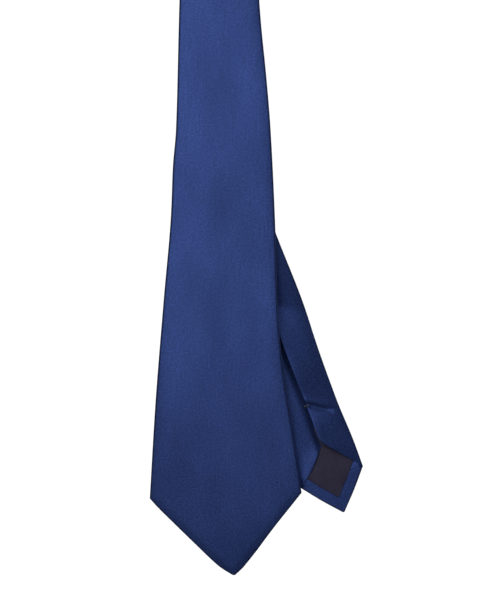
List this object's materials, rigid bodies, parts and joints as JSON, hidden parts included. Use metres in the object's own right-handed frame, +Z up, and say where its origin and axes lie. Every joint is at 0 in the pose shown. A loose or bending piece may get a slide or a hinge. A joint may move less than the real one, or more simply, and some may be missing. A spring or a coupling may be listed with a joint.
{
  "type": "necktie",
  "caption": "Navy satin necktie hanging folded at the neck, wide blade in front, narrow tail through the keeper loop and swung out to one side.",
  "frame": {"origin": "axis of the rail inside the neck fold, midway across the band", "axes": "+Z up, +X across the tie to the viewer's right when the blade faces the viewer, -Y towards the viewer"},
  "size_m": [0.1199, 0.0184, 0.7442],
  "materials": {
    "satin": "satin weave",
    "lining": "plain lining satin",
    "wool_core": "brushed wool",
    "thread": "sewing thread",
    "label": "woven label, blank",
    "care_label": "woven label, blank"
  },
  "bodies": {
    "upper_tie": {"neck_shell": "satin", "blade_shell_upper": "satin", "tail_shell_upper": "satin", "interlining_middle": "wool_core", "blade_neck_seam": "thread", "tail_neck_seam": "thread", "blade_slip_stitch_upper": "thread", "tail_slip_stitch_upper": "thread", "keeper_loop": "satin", "keeper_loop_stitches": "thread", "maker_label": "label", "maker_label_stitches": "thread"},
    "blade_end": {"blade_shell_end": "satin", "interlining_blade_end": "wool_core", "blade_slip_stitch_end": "thread", "blade_tipping": "lining", "blade_tipping_stitches": "thread", "blade_bar_tack": "thread", "care_label": "care_label", "care_label_stitches": "thread"},
    "tail_end": {"tail_shell_end": "satin", "interlining_tail_end": "wool_core", "tail_slip_stitch_end": "thread", "tail_tipping": "lining", "tail_tipping_stitches": "thread", "tail_bar_tack": "thread"}
  },
  "joints": [
    {"name": "blade_lift", "type": "hinge", "parent": "upper_tie", "child": "blade_end", "pos_m": [0, -0.0031, -0.508], "axis": [-1, 0, 0], "range_deg": [0, 70]},
    {"name": "tail_swing", "type": "hinge", "parent": "upper_tie", "child": "tail_end", "pos_m": [0, 0.0031, -0.4955], "axis": [0, -1, 0], "range_deg": [-19, 11]}
  ]
}
